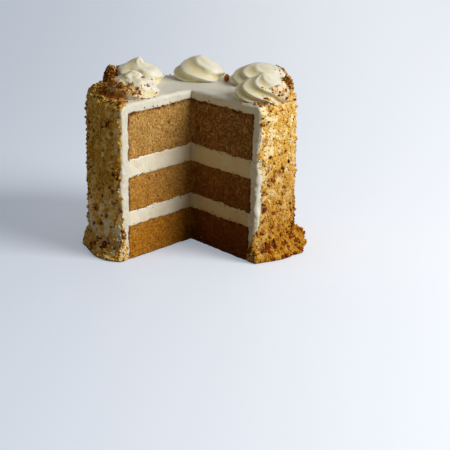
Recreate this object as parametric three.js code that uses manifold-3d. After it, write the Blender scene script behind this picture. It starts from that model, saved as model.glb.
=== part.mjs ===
// A round carrot cake with one wide slice taken out. Three sponge layers are stacked with two layers of
// cream cheese filling between them, under one coat of icing that covers the top and the side. Toasted
// crumbs and chopped nuts stick to the side and lie in a loose heap round the foot, and five piped
// rosettes stand round the rim of the top. Millimetres, +Z up; the slice is missing towards -Y.
import * as THREE from "three";
import { mergeVertices } from "three/addons/utils/BufferGeometryUtils.js";
import Module from "manifold-3d";

const wasm = await Module();
wasm.setup();

// Driving dimensions.
const SPONGE_RADIUS = 73.5;
const SIDE_ICING = 8.3;
const TOP_ICING = 7.5;
const BOTTOM_SPONGE = 27.7;
const LOWER_FILLING = 10.8;
const MIDDLE_SPONGE = 28;
const UPPER_FILLING = 13.5;
const TOP_SPONGE = 36.3;
const FIT_GAP = 0.3;
const SLIVER = 0.03;

// The missing slice: the angle of each cut from -Y, and how far the right-hand cut leans in at the foot.
const LEFT_CUT = THREE.MathUtils.degToRad(41);
const RIGHT_CUT = THREE.MathUtils.degToRad(40.3);
const RIGHT_LEAN = THREE.MathUtils.degToRad(3.6);

// Where the cake's axis stands: the origin is the middle of the footprint.
const AXIS_X = -3.3;
const AXIS_Y = -8.85;

// Each rosette's place and size, the turn of its ridges, how far its tip leans, and the crumbs on its
// outer flank, about an angle from -Y. Its flank is fullest towards one side: full gives the angle of
// that side, how full the flank is there and opposite, and how much wider the foot spreads there.
const ROSETTES = [
  { name: "rosette_left_front", x: -46, y: -15, radius: 20.3, height: 18, ridges: 5, start: 0.4,
    lean: [1, 0], crumbs: 6, crumbAngle: -1.3, full: { side: -1.3, most: 0.4, least: 0.1, wide: 0.05 } },
  { name: "rosette_left_rear", x: -43.5, y: 34, radius: 21.3, height: 20, ridges: 5, start: 0.5,
    lean: [1, 0], crumbs: 4, crumbAngle: -1.9, full: { side: -1.7, most: 0.3, least: 0, wide: 0.03 } },
  { name: "rosette_back", x: 6, y: 47, radius: 21.3, height: 19, ridges: 5, start: 0.54,
    lean: [0, 0], crumbs: 0, crumbAngle: 0, full: { side: 1.6, most: 0.25, least: 0.1, wide: 0.02 } },
  { name: "rosette_right_rear", x: 54, y: 27, radius: 22.5, height: 17, ridges: 6, start: 0.5,
    lean: [1, 0], crumbs: 5, crumbAngle: 1.9, full: { side: 1.3, most: 0.85, least: 0.45, wide: 0.12 } },
  { name: "rosette_right_front", x: 54, y: -30, radius: 21.5, height: 20.5, ridges: 7, start: 0.65,
    lean: [2, 0], crumbs: 4, crumbAngle: 1.2, full: { side: 2, most: 0.6, least: 0.1, wide: 0.06 } },
];

// Two small piles of crumbs on the rim: where each stands, how far it reaches from there along X and
// along Y, and how high it is.
const PILES = [
  { x: -69.3, y: 31, across: 3.7, along: 8.4, height: 12.8 },
  { x: 76.7, y: 6, across: 3.6, along: 8.4, height: 10.4 },
];

const ICING_RADIUS = SPONGE_RADIUS + SIDE_ICING;
const SPONGE_TOP = BOTTOM_SPONGE + LOWER_FILLING + MIDDLE_SPONGE + UPPER_FILLING + TOP_SPONGE;
const CAKE_TOP = SPONGE_TOP + TOP_ICING;

// ---- Helpers ----

// A repeatable random stream of numbers from 0 to 1.
function randomStream(seed) {
  let state = seed;
  return () => {
    state = (state + 0x6d2b79f5) | 0;
    let t = Math.imul(state ^ (state >>> 15), 1 | state);
    t = (t + Math.imul(t ^ (t >>> 7), 61 | t)) ^ t;
    return ((t ^ (t >>> 14)) >>> 0) / 4294967296;
  };
}

// A fixed number from -1 to 1 for each point of a whole-number grid.
function gridValue(i, j, k) {
  let h = Math.imul(i, 374761393) + Math.imul(j, 668265263) + Math.imul(k, 1440670441);
  h = Math.imul(h ^ (h >>> 13), 1274126177);
  return ((h ^ (h >>> 16)) >>> 0) / 2147483648 - 1;
}

// Smooth bumps from -1 to 1, about one bump to each grain of the given size.
function bumps(x, y, z, grain) {
  const place = [x / grain, y / grain, z / grain];
  const cell = place.map(Math.floor);
  const share = place.map((p, axis) => THREE.MathUtils.smoothstep(p - cell[axis], 0, 1));
  let sum = 0;
  for (let corner = 0; corner < 8; corner++) {
    const step = [corner & 1, (corner >> 1) & 1, corner >> 2];
    const weight = step.reduce((w, s, axis) => w * (s ? share[axis] : 1 - share[axis]), 1);
    sum += weight * gridValue(cell[0] + step[0], cell[1] + step[1], cell[2] + step[2]);
  }
  return sum;
}

// A closed geometry through rings of equal length, with a fan of triangles to a hub point at each end.
function loft(rings, firstHub, lastHub) {
  const size = rings[0].length;
  const points = [...rings.flat(), firstHub, lastHub];
  const first = points.length - 2;
  const last = points.length - 1;
  const index = [];
  for (let i = 0; i < size; i++) {
    const next = (i + 1) % size;
    index.push(first, next, i);
    index.push(last, (rings.length - 1) * size + i, (rings.length - 1) * size + next);
    for (let r = 0; r < rings.length - 1; r++) {
      const low = r * size;
      const high = low + size;
      index.push(low + i, low + next, high + next, low + i, high + next, high + i);
    }
  }
  const geometry = new THREE.BufferGeometry().setFromPoints(points);
  geometry.setIndex(index);
  return geometry;
}

// A three.js geometry as a solid that can be joined and cut.
function solid(geometry) {
  const bare = new THREE.BufferGeometry();
  bare.setAttribute("position", geometry.getAttribute("position"));
  bare.setIndex(geometry.index);
  const merged = mergeVertices(bare, 1e-4);
  const corners = merged.index.array;
  const triVerts = [];
  for (let i = 0; i < corners.length; i += 3) {
    const [a, b, c] = corners.slice(i, i + 3);
    if (a !== b && b !== c && c !== a) triVerts.push(a, b, c);
  }
  return new wasm.Manifold(
    new wasm.Mesh({
      numProp: 3,
      vertProperties: merged.getAttribute("position").array,
      triVerts: new Uint32Array(triVerts),
    }),
  );
}

// A solid as a three.js geometry.
function geometryOf(made) {
  const mesh = made.getMesh();
  const geometry = new THREE.BufferGeometry();
  geometry.setAttribute("position", new THREE.BufferAttribute(mesh.vertProperties, 3));
  geometry.setIndex(new THREE.BufferAttribute(mesh.triVerts, 1));
  geometry.computeVertexNormals();
  return geometry;
}

// The largest body of a solid, without the scraps and slivers that a cut can leave.
function mainBody(made) {
  const bodies = made.simplify(SLIVER).decompose();
  return bodies.reduce((best, body) => (body.volume() > best.volume() ? body : best));
}

// ---- The missing slice ----

// The angle from -Y of each cut at a height: negative towards -X.
function cutAngles(z) {
  return [-LEFT_CUT, RIGHT_CUT - RIGHT_LEAN * (1 - z / CAKE_TOP)];
}

// A point at a distance from the cake's axis, by its angle from -Y.
function around(distance, angle, z) {
  return new THREE.Vector3(distance * Math.sin(angle), -distance * Math.cos(angle), z);
}

function sliceSolid() {
  const margin = 30;
  const reach = 2 * ICING_RADIUS;
  const rings = [-margin, CAKE_TOP + margin].map((z) => {
    const [left, right] = cutAngles(z);
    return [new THREE.Vector3(0, 0, z), around(reach, left, z), around(reach, right, z)];
  });
  return solid(loft(rings, around(reach / 2, 0, -margin), around(reach / 2, 0, CAKE_TOP + margin)));
}

// ---- Sponge layers and fillings ----

const CUT_STEPS = 13;
const ARC_STEPS = 30;
const CRAG_GRAIN = 7;

// A layer with the slice taken out, from a lower to a higher level. The cut faces and the round side
// have crags of the given depth, which fade out at the axis so that both cuts still meet there.
function layer(low, high, levels, cragDepth, cragGrain) {
  const rings = [];
  for (let level = 0; level <= levels; level++) {
    const z = low + ((high - low) * level) / levels;
    const [left, right] = cutAngles(z);
    const crag = (p) => cragDepth * bumps(p.x + 40, p.y, z, cragGrain);
    const ring = [new THREE.Vector3(0, 0, z)];
    for (let i = 1; i <= CUT_STEPS; i++) {
      const p = around((SPONGE_RADIUS * i) / CUT_STEPS, right, z);
      const fade = Math.min(1, i / 2);
      ring.push(p.addScaledVector(around(1, right + Math.PI / 2, 0), fade * crag(p)));
    }
    const sweep = 2 * Math.PI - (right - left);
    for (let i = 1; i < ARC_STEPS; i++) {
      const angle = right + (sweep * i) / ARC_STEPS;
      const p = around(SPONGE_RADIUS, angle, z);
      ring.push(p.addScaledVector(around(1, angle, 0), -0.5 * Math.abs(crag(p))));
    }
    for (let i = CUT_STEPS; i >= 1; i--) {
      const p = around((SPONGE_RADIUS * i) / CUT_STEPS, left, z);
      const fade = Math.min(1, i / 2);
      ring.push(p.addScaledVector(around(1, left + Math.PI / 2, 0), fade * crag(p)));
    }
    rings.push(ring);
  }
  const hub = (z) => around(SPONGE_RADIUS / 6, Math.PI, z);
  return loft(rings, hub(low), hub(high));
}

// ---- Toasted crumbs and nuts ----

// One broken crumb: a dented, stretched and turned icosahedron.
function crumb(place, size, random) {
  const geometry = mergeVertices(
    new THREE.IcosahedronGeometry(1, 0).deleteAttribute("normal").deleteAttribute("uv"),
    1e-3,
  );
  const at = geometry.getAttribute("position");
  const corner = new THREE.Vector3();
  for (let i = 0; i < at.count; i++) {
    corner.fromBufferAttribute(at, i).multiplyScalar(0.8 + 0.4 * random());
    at.setXYZ(i, corner.x, corner.y, corner.z);
  }
  const stretch = new THREE.Vector3(0.75 + 0.5 * random(), 0.7 + 0.4 * random(), 0.6 + 0.3 * random());
  const turn = new THREE.Euler(Math.PI * random(), Math.PI * random(), Math.PI * random());
  const matrix = new THREE.Matrix4().compose(
    place,
    new THREE.Quaternion().setFromEuler(turn),
    stretch.multiplyScalar(size / 2),
  );
  return solid(geometry.applyMatrix4(matrix));
}

// ---- Icing ----

const SIDE_STEPS = 64;
const SIDE_ROWS = 10;
const COAT_GRAIN = 6.5;
const COAT_RELIEF = 0.8;
const CORNER_RADIUS = 6;

// The heap of fallen crumbs round the foot: its height and its mean reach from the icing.
const HEAP_HEIGHT = 11;
const HEAP_REACH = 7;
const HEAP_CREST = 1.8;

// The crumbs of the side: the margin left bare at each cut, the angle that they cover, the share of it
// from one crumb to the next, and how much closer together they are at the foot.
const CUT_MARGIN = 0.06;
const COATED_SWEEP = 2 * Math.PI - (LEFT_CUT + RIGHT_CUT) - 2 * CUT_MARGIN;
const GOLDEN_SHARE = (Math.sqrt(5) - 1) / 2;
const CRUMBS_LOW = 1.15;

// How much thicker the crumbs lie on the left and right flanks than next to the cuts.
const FLANK_SWELL = 1.1;

// How far the crumb coat stands out from the icing's plain cylinder. It is plain behind the heap.
function coatRelief(x, y, z) {
  const above = THREE.MathUtils.smoothstep(z, HEAP_HEIGHT, 1.5 * HEAP_HEIGHT);
  const thicker = FLANK_SWELL * THREE.MathUtils.smoothstep(Math.abs(x), 60, 76);
  return above * (thicker + COAT_RELIEF * bumps(x, y, z, COAT_GRAIN));
}

// A turned solid whose points beyond a distance from the axis are moved out by relief(x, y, z).
function turned(profile, beyond, relief) {
  const points = profile.map(([distance, z]) => new THREE.Vector2(distance, z));
  const geometry = new THREE.LatheGeometry(points, SIDE_STEPS).rotateX(Math.PI / 2);
  const at = geometry.getAttribute("position");
  for (let i = 0; i < at.count; i++) {
    const [x, y, z] = [at.getX(i), at.getY(i), at.getZ(i)];
    const distance = Math.hypot(x, y);
    if (distance < beyond) continue;
    const grown = 1 + relief(x, y, z) / distance;
    at.setXYZ(i, x * grown, y * grown, z);
  }
  return solid(geometry);
}

function icingBody() {
  const straight = CAKE_TOP - CORNER_RADIUS;
  const profile = [[0, 0], [ICING_RADIUS, 0], [ICING_RADIUS, HEAP_HEIGHT]];
  for (let row = 1; row <= SIDE_ROWS; row++) {
    profile.push([ICING_RADIUS, HEAP_HEIGHT + ((straight - HEAP_HEIGHT) * row) / SIDE_ROWS]);
  }
  for (const turn of [30, 60, 90].map(THREE.MathUtils.degToRad)) {
    const inset = CORNER_RADIUS * (1 - Math.cos(turn));
    profile.push([ICING_RADIUS - inset, straight + CORNER_RADIUS * Math.sin(turn)]);
  }
  profile.push([0, CAKE_TOP]);
  return turned(profile, ICING_RADIUS - CORNER_RADIUS, coatRelief);
}

// How far the rounded rim has drawn in from the side at a height.
function rimInset(z) {
  const up = Math.max(0, z - (CAKE_TOP - CORNER_RADIUS)) / CORNER_RADIUS;
  return CORNER_RADIUS * (1 - Math.sqrt(1 - Math.min(1, up * up)));
}

// The larger crumbs and nuts of the side, spread evenly by the golden angle from the heap to the rim.
function sideCrumbs(count, random) {
  const made = [];
  const lowest = HEAP_HEIGHT + 5;
  const highest = CAKE_TOP - 4.5;
  for (let i = 0; i < count; i++) {
    const z = lowest + (highest - lowest) * Math.pow((i + 0.5) / count, CRUMBS_LOW);
    const angle = RIGHT_CUT + CUT_MARGIN + COATED_SWEEP * ((i * GOLDEN_SHARE) % 1);
    const size = 3.4 + 2.6 * random() * random();
    const plain = around(ICING_RADIUS, angle, z);
    const distance = ICING_RADIUS - rimInset(z) + coatRelief(plain.x, plain.y, z) + 0.1 * size;
    made.push(crumb(around(distance, angle, z), size, random));
  }
  return made;
}

// Crumbs that lie on the flat top, in a ring just inside the rim, wherever no rosette stands.
function rimCrumbs(count, random) {
  const made = [];
  for (let i = 0; i < count; i++) {
    const angle = RIGHT_CUT + CUT_MARGIN + (COATED_SWEEP * (i + 0.5)) / count;
    const place = around(ICING_RADIUS - CORNER_RADIUS - 5 * random(), angle, CAKE_TOP - 0.2);
    const size = 3 + 1.5 * random();
    const away = ({ x, y }) => Math.hypot(place.x - x, place.y - y);
    const clear = (rosette) => away(rosette) > rosette.radius * (1.03 + rosette.full.wide) + size;
    if (ROSETTES.every(clear)) made.push(crumb(place, size, random));
  }
  return made;
}

// A lumpy pile of crumbs, set a little way into the top of the icing.
function crumbPile({ x, y, across, along, height }) {
  const geometry = new THREE.SphereGeometry(1, 10, 7).rotateX(Math.PI / 2);
  const at = geometry.getAttribute("position");
  const corner = new THREE.Vector3();
  for (let i = 0; i < at.count; i++) {
    corner.fromBufferAttribute(at, i).multiply(new THREE.Vector3(across, along, height + 1));
    corner.multiplyScalar(1 - 0.1 * (0.5 + 0.5 * bumps(corner.x, corner.y, corner.z, 4)));
    at.setXYZ(i, x + corner.x, y + corner.y, CAKE_TOP - 1 + corner.z);
  }
  return solid(geometry);
}

function icing() {
  const cavityRadius = SPONGE_RADIUS + FIT_GAP;
  const cavity = new THREE.CylinderGeometry(cavityRadius, cavityRadius, 2 * SPONGE_TOP, 60);
  const random = randomStream(7);
  const crumbs = [...sideCrumbs(102, random), ...rimCrumbs(26, random)];
  const coat = wasm.Manifold.union([icingBody(), ...crumbs, ...PILES.map(crumbPile)]);
  return mainBody(coat.subtract(solid(cavity.rotateX(Math.PI / 2))).subtract(sliceSolid()));
}

// ---- Heap of crumbs round the foot ----

// How much wider or narrower the heap is than its mean reach at a point: it is widest towards +X.
function heapSpread(x, y) {
  return (1 + 0.45 * Math.cos(Math.atan2(y, x))) * (1 + 0.35 * bumps(x, y, 0, 11));
}

function crumbHeap() {
  const inside = ICING_RADIUS + FIT_GAP;
  const edge = (z) => inside + HEAP_CREST * (1 - z / HEAP_HEIGHT);
  const profile = [[0, 0], [edge(0), 0], [edge(3), 3], [edge(7), 7]];
  profile.push([inside + 0.6, HEAP_HEIGHT], [0, HEAP_HEIGHT]);
  const spread = (x, y, z) => {
    const low = Math.max(0, 1 - z / HEAP_HEIGHT);
    return HEAP_REACH * low * heapSpread(x, y) + 0.6 * low * bumps(x, y, z, 5);
  };
  const random = randomStream(11);
  const crumbs = [];
  for (let i = 0; i < 30; i++) {
    const angle = RIGHT_CUT + CUT_MARGIN + COATED_SWEEP * ((i * GOLDEN_SHARE) % 1);
    const size = 4 + 1.6 * random();
    const z = 2.2 + 6 * random();
    const plain = around(inside, angle, z);
    const distance = edge(z) + spread(plain.x, plain.y, z) - 0.1 * size;
    crumbs.push(crumb(around(distance, angle, Math.max(z, 0.62 * size)), size, random));
  }
  const heap = wasm.Manifold.union([turned(profile, inside + 0.1, spread), ...crumbs]);
  const upright = [[0, -1], [inside, -1], [inside, 2 * HEAP_HEIGHT], [0, 2 * HEAP_HEIGHT]];
  const core = turned(upright, inside, () => 0);
  return mainBody(heap.subtract(core).subtract(sliceSolid()));
}

// ---- Rosettes ----

const POINTS_PER_RIDGE = 4;
const RIDGE_DEPTH = 0.14;

// How fast the ridges turn on their way down, once they have left the tip.
const TWIST = THREE.MathUtils.degToRad(185);

// The outline of a piped rosette from its foot up. Each row is a share of the height, the share of the
// radius for a plain flank, and the share for a full one.
const ROSETTE_OUTLINE = [
  [0, 0.86, 0.88],
  [0.08, 0.97, 1],
  [0.18, 1, 1.03],
  [0.3, 0.98, 1.03],
  [0.4, 0.93, 1.01],
  [0.5, 0.84, 0.97],
  [0.6, 0.72, 0.91],
  [0.7, 0.57, 0.83],
  [0.79, 0.4, 0.72],
  [0.87, 0.25, 0.57],
  [0.94, 0.12, 0.36],
];

// How full a rosette's flank is towards an angle from -Y, and how much wider its foot spreads there.
function fullness(full, angle) {
  const towards = Math.pow(0.5 + 0.5 * Math.cos(angle - full.side), 1.5);
  return [full.least + (full.most - full.least) * towards, full.wide * towards];
}

// A piped rosette with its flat underside at z = 0. The star-shaped nozzle left ridges with broad
// hollows between them, which run down from the tip and flatten out towards the foot as they turn.
function rosette({ radius, height, ridges, start, lean, full }) {
  const count = ridges * POINTS_PER_RIDGE;
  const leaning = (up) => new THREE.Vector3(lean[0], lean[1], 0).multiplyScalar(up * up * up);
  const rings = ROSETTE_OUTLINE.map(([up, plain, round]) => {
    const down = 1 - up;
    const turned = start + (TWIST * down * down) / (down + 0.15);
    const ring = [];
    for (let i = 0; i < count; i++) {
      const turn = (2 * Math.PI * i) / count;
      const hollow = Math.abs(Math.sin((ridges * turn) / 2));
      const uneven = 1 + 0.03 * Math.sin(2 * (turn + turned) + start);
      const [filled, wide] = fullness(full, turn + turned);
      const out = (plain + (round - plain) * filled) * (1 + wide);
      const reach = radius * out * uneven * (1 - RIDGE_DEPTH * hollow);
      ring.push(around(reach, turn + turned, up * height).add(leaning(up)));
    }
    return ring;
  });
  return solid(loft(rings, new THREE.Vector3(), leaning(1).setZ(height)));
}

// Crumbs that cling to one flank of a rosette, about the given angle, each on a row of its outline.
function flankCrumbs({ radius, height, crumbs, crumbAngle, full }) {
  const random = randomStream(crumbs);
  const made = [];
  for (let i = 0; i < crumbs; i++) {
    const [up, plain, round] = ROSETTE_OUTLINE[2 + (i % 6)];
    const angle = crumbAngle + 1.4 * (((i * GOLDEN_SHARE) % 1) - 0.5);
    const [filled, wide] = fullness(full, angle);
    const distance = 0.9 * radius * (plain + (round - plain) * filled) * (1 + wide);
    made.push(crumb(around(distance, angle, up * height), 3.2 + 1.6 * random(), random));
  }
  return made;
}

// ---- The cake ----

const spongeMaterial = new THREE.MeshStandardMaterial({ color: "#b98443", roughness: 0.95 });
const creamMaterial = new THREE.MeshStandardMaterial({ color: "#efe6cf", roughness: 0.5 });
const coatMaterial = new THREE.MeshStandardMaterial({ color: "#d9a95c", roughness: 0.85 });
const crumbMaterial = new THREE.MeshStandardMaterial({ color: "#c08a45", roughness: 0.9 });

const cake = new THREE.Group();
cake.position.set(AXIS_X, AXIS_Y, 0);

function add(name, geometry, material) {
  const mesh = new THREE.Mesh(geometry, material);
  mesh.name = name;
  cake.add(mesh);
  return mesh;
}

let level = 0;
for (const [name, thickness, levels, cragDepth, material] of [
  ["sponge_bottom", BOTTOM_SPONGE, 3, 1.1, spongeMaterial],
  ["filling_lower", LOWER_FILLING, 2, 0.5, creamMaterial],
  ["sponge_middle", MIDDLE_SPONGE, 3, 1.1, spongeMaterial],
  ["filling_upper", UPPER_FILLING, 2, 0.5, creamMaterial],
  ["sponge_top", TOP_SPONGE, 4, 1.1, spongeMaterial],
]) {
  add(name, layer(level, level + thickness - FIT_GAP, levels, cragDepth, CRAG_GRAIN), material);
  level += thickness;
}
add("icing", geometryOf(icing()), coatMaterial);
add("crumb_heap", geometryOf(crumbHeap()), crumbMaterial);

for (const { name, x, y, ...shape } of ROSETTES) {
  const piped = wasm.Manifold.union([rosette(shape), ...flankCrumbs(shape)]);
  const mesh = add(name, geometryOf(mainBody(piped)), creamMaterial);
  mesh.position.set(x, y, CAKE_TOP + FIT_GAP);
}

export default cake;
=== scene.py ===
# A round carrot cake with one wide slice taken out: three sponge layers with cream cheese filling
# between them, iced over the top and the side, toasted crumbs pressed into the side, and five piped
# rosettes on top. Lengths are worked out in millimetres and turned into metres as meshes are made.
import itertools
import math

import bmesh
import bpy
import numpy as np
from mathutils import Matrix, Vector
from mathutils.bvhtree import BVHTree


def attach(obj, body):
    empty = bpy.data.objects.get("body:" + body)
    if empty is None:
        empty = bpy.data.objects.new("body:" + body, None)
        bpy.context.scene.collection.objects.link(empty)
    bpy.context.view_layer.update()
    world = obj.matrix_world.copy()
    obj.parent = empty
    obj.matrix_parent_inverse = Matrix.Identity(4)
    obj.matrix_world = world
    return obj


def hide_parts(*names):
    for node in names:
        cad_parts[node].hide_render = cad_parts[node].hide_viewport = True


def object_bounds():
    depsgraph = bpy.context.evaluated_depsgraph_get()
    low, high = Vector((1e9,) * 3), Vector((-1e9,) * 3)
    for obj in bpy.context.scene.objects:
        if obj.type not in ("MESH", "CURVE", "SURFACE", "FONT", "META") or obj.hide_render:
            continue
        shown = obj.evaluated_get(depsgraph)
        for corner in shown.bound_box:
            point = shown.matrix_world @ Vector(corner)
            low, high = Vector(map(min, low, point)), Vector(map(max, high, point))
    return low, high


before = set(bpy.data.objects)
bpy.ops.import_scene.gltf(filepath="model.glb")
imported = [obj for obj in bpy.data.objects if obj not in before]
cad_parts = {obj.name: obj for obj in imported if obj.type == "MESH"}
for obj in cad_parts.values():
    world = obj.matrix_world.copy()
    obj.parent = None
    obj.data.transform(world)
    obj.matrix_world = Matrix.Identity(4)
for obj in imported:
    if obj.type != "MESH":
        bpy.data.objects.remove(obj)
cad_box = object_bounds()

# ---- Sponge layers ----
# Three discs of moist carrot sponge baked in a six inch tin and stacked. The slice was cut out with a
# knife, which left two flat faces of open crumb: small holes, moist lumps and a thin browned edge.

AXIS_X, AXIS_Y = -3.3, -8.85
SPONGE_RADIUS = 73.5
LOWER_FILLING, UPPER_FILLING = (27.4, 38.5), (66.2, 80.0)
SPONGE_TOP = 116.3
CAKE_TOP = 123.8
LEFT_CUT, RIGHT_CUT, RIGHT_LEAN = np.radians([41.0, 40.3, 3.6])


def lattice(i, j, k):
    """A fixed number from -1 to 1 for each point of a whole-number lattice."""
    h = (i * 374761393 + j * 668265263 + k * 1440670441) & 0xFFFFFFFF
    h = ((h ^ (h >> 13)) * 1274126177) & 0xFFFFFFFF
    return (h ^ (h >> 16)) / 2147483648.0 - 1.0


def bumps(points, grain, shift=0):
    """Smooth bumps from -1 to 1, about one to each grain, at points of n rows."""
    place = np.asarray(points, float) / grain
    cell = np.floor(place).astype(np.int64)
    share = place - cell
    share = share * share * (3 - 2 * share)
    total = np.zeros(len(place))
    for step in itertools.product((0, 1), repeat=3):
        weight = np.prod([share[:, a] if s else 1 - share[:, a] for a, s in enumerate(step)], axis=0)
        corner = cell + step + (57 * shift, 0, 0)
        total += weight * lattice(*corner.T)
    return total


def holes(points, cell, largest, share, shift):
    """How deep the round holes in a crumb reach at each point: one hole at most to each cell."""
    place = np.asarray(points, float) / cell
    base = np.floor(place).astype(np.int64)
    deepest = np.zeros(len(place))
    for step in itertools.product((-1, 0, 1), repeat=3):
        i, j, k = (base + step).T
        middle = [0.5 + 0.45 * lattice(i + 101 * s + shift, j, k) for s in (1, 2, 3)]
        size = 0.6 + 0.4 * lattice(i + 404 + shift, j, k)
        there = lattice(i + 505 + shift, j, k) < 2 * share - 1
        away = sum((place[:, a] - base[:, a] - step[a] - middle[a]) ** 2 for a in range(3))
        deepest = np.maximum(deepest, there * ((size * largest / cell) ** 2 - away))
    return cell * np.sqrt(deepest)


def around(distance, angle, z):
    """Points at a distance from the cake's axis, by the angle from the middle of the missing slice."""
    distance, angle, z = np.broadcast_arrays(distance, angle, z)
    return np.stack([distance * np.sin(angle), -distance * np.cos(angle), z], axis=-1).astype(float)


def right_cut(z):
    """The angle of the right cut at each height: the knife leant, so it is a little less at the foot."""
    return RIGHT_CUT - RIGHT_LEAN * (1 - np.asarray(z) / CAKE_TOP)


def into_cake(z, side):
    """The direction from a cut into the cake at each height, and the angle of that cut; side is +1 on
    the right and -1 on the left."""
    angle = np.where(side > 0, right_cut(z), -LEFT_CUT)
    return around(1.0, angle + side * math.pi / 2, 0.0), angle


def piece(name, points, faces, material, masks=None):
    """A mesh object from points in millimetres about the cake's axis; masks are named point values."""
    placed = np.clip((np.asarray(points) + (AXIS_X, AXIS_Y, 0)) * 0.001, *np.array(cad_box))
    mesh = bpy.data.meshes.new(name)
    mesh.from_pydata(placed.tolist(), [], [list(map(int, f)) for f in faces])
    for label, values in (masks or {}).items():
        attribute = mesh.attributes.new(label, "FLOAT", "POINT")
        attribute.data.foreach_set("value", np.asarray(values, np.float32))
    mesh.polygons.foreach_set("use_smooth", [True] * len(mesh.polygons))
    mesh.materials.append(material)
    mesh.validate()
    made = bpy.data.objects.new(name, mesh)
    bpy.context.scene.collection.objects.link(made)
    return made


def fit(made, slot, *nodes):
    """The piece belongs to the cake's one body and stands for the nodes, which are hidden; slot is not used.
    """
    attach(made, "root")
    if nodes:
        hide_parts(*nodes)


def closed_rings(rings):
    """Faces of a closed solid through rings of equal length, with a fan at each end."""
    count, size = rings.shape[:2]
    index = np.arange(count * size).reshape(count, size)
    turn = np.roll(index, -1, axis=1)
    quads = np.stack([index[:-1], turn[:-1], turn[1:], index[1:]], axis=-1).reshape(-1, 4)
    first, last = count * size, count * size + 1
    low = [[first, b, a] for a, b in zip(index[0], turn[0])]
    high = [[last, a, b] for a, b in zip(index[-1], turn[-1])]
    return [*quads.tolist(), *low, *high]


def cut_layer(radius, low, high, step, wave, crag):
    """A disc with the slice taken out. wave(points) lifts its top and underside; crag(points, side)
    is how far each point of a cut face lies behind the cut, with side +1 right and -1 left."""
    across = int(round(radius / step))
    levels = max(2, int(round((high - low) / step)))
    share = np.linspace(0, 1, levels + 1)[:, None]
    distance = radius * np.arange(1, across + 1)[None, :] / across
    z = low + (high - low) * share
    right = around(distance, right_cut(z), z)
    left = around(distance[:, ::-1], -LEFT_CUT, z)
    arc = right_cut(z) + (2 * math.pi - right_cut(z) - LEFT_CUT) * np.linspace(0, 1, 91)[None, 1:-1]
    side = around(radius - 0.4, arc, z)
    axis = around(np.zeros_like(z), 0.0, z)
    rings = np.concatenate([axis, right, side, left], axis=1)
    flat = rings.reshape(-1, 3)
    lift = wave(flat * (1, 1, 0) + (0, 0, low)), wave(flat * (1, 1, 0) + (0, 0, high))
    up = np.broadcast_to(share, rings.shape[:2]).reshape(-1)
    flat[:, 2] += lift[0] * (1 - up) + lift[1] * up
    behind = np.zeros(len(flat))
    number = np.arange(rings.shape[1])
    for sign, faces_in in ((1, (number >= 1) & (number <= across)), (-1, number >= rings.shape[1] - across)):
        mask = np.broadcast_to(faces_in, rings.shape[:2]).reshape(-1)
        here = flat[mask]
        fade = np.minimum(1, np.hypot(here[:, 0], here[:, 1]) / 6)
        back = crag(here, sign) * fade
        flat[mask] = here + into_cake(here[:, 2], sign)[0] * back[:, None]
        behind[mask] = back
    hubs = around(SPONGE_RADIUS / 6, math.pi, np.array([low, high]))
    points = np.concatenate([flat, hubs])
    return points, closed_rings(rings), np.append(behind, [0, 0])


def level_wave(points):
    """The layers' faces aren't quite level: they rise and fall by about a millimetre."""
    edge = np.where((points[:, 2] < 1) | (points[:, 2] > SPONGE_TOP - 1), 0.0, 1.0)
    return edge * (0.6 * bumps(points, 12, 1) + 0.5 * bumps(points, 4.5, 2) + 0.35 * bumps(points, 2.0, 2))


def knife_cut(points, side):
    """The broad unevenness of the cut, the same for sponge and filling."""
    shifted = points + (40, 0, 0)
    return side * 1.1 * bumps(shifted, 7)


def sponge_crumb(points, side):
    """Open crumb: the cut's broad crags, winding crumb walls with hollows between them, and holes."""
    walls = 0.8 * np.abs(bumps(points, 2.3, 3)) + 0.6 * np.abs(bumps(points, 1.3, 4))
    fine = 0.12 * bumps(points, 0.7, 5)
    small = holes(points, 2.1, 0.9, 0.5, 0)
    large = holes(points, 5.0, 1.7, 0.35, 900)
    return 0.55 * knife_cut(points, side) + 1.0 * walls + fine + np.maximum(0.8 * small, 0.9 * large)


def icing_line(points):
    """How far the line where sponge meets icing wanders along a cut face."""
    return 0.75 * bumps(points, 6, 16) + 0.7 * bumps(points, 2.2, 17)


def socket(tree, name, kind, value, low=None, high=None, out=False):
    """A named socket on a node group."""
    made = tree.interface.new_socket(name=name, in_out="OUTPUT" if out else "INPUT", socket_type=kind)
    if value is not None:
        made.default_value = value
    if low is not None:
        made.min_value, made.max_value = low, high
    return made


def rgb(red, green, blue):
    """A colour as a painter would name it on screen, as the linear values that a shader mixes."""
    def linear(v):
        v /= 255
        return v / 12.92 if v <= 0.04045 else ((v + 0.055) / 1.055) ** 2.4
    return (linear(red), linear(green), linear(blue), 1.0)


def mix(tree, factor, first, second, blend="MIX"):
    """A colour mix; each input is a socket or a plain value."""
    node = tree.nodes.new("ShaderNodeMix")
    node.data_type = "RGBA"
    node.blend_type = blend
    for slot_number, given in ((0, factor), (6, first), (7, second)):
        if isinstance(given, bpy.types.NodeSocket):
            tree.links.new(given, node.inputs[slot_number])
        else:
            node.inputs[slot_number].default_value = given
    return node.outputs[2]


def ramp(tree, value, low, high, out_low=0.0, out_high=1.0):
    """A value stretched from one range to another and held inside it."""
    node = tree.nodes.new("ShaderNodeMapRange")
    node.interpolation_type = "SMOOTHSTEP"
    tree.links.new(value, node.inputs["Value"])
    for label, number in (("From Min", low), ("From Max", high), ("To Min", out_low), ("To Max", out_high)):
        node.inputs[label].default_value = number
    return node.outputs["Result"]


def product(tree, first, second):
    """Two values multiplied."""
    node = tree.nodes.new("ShaderNodeMath")
    node.operation = "MULTIPLY"
    tree.links.new(first, node.inputs[0])
    tree.links.new(second, node.inputs[1])
    return node.outputs[0]


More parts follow.
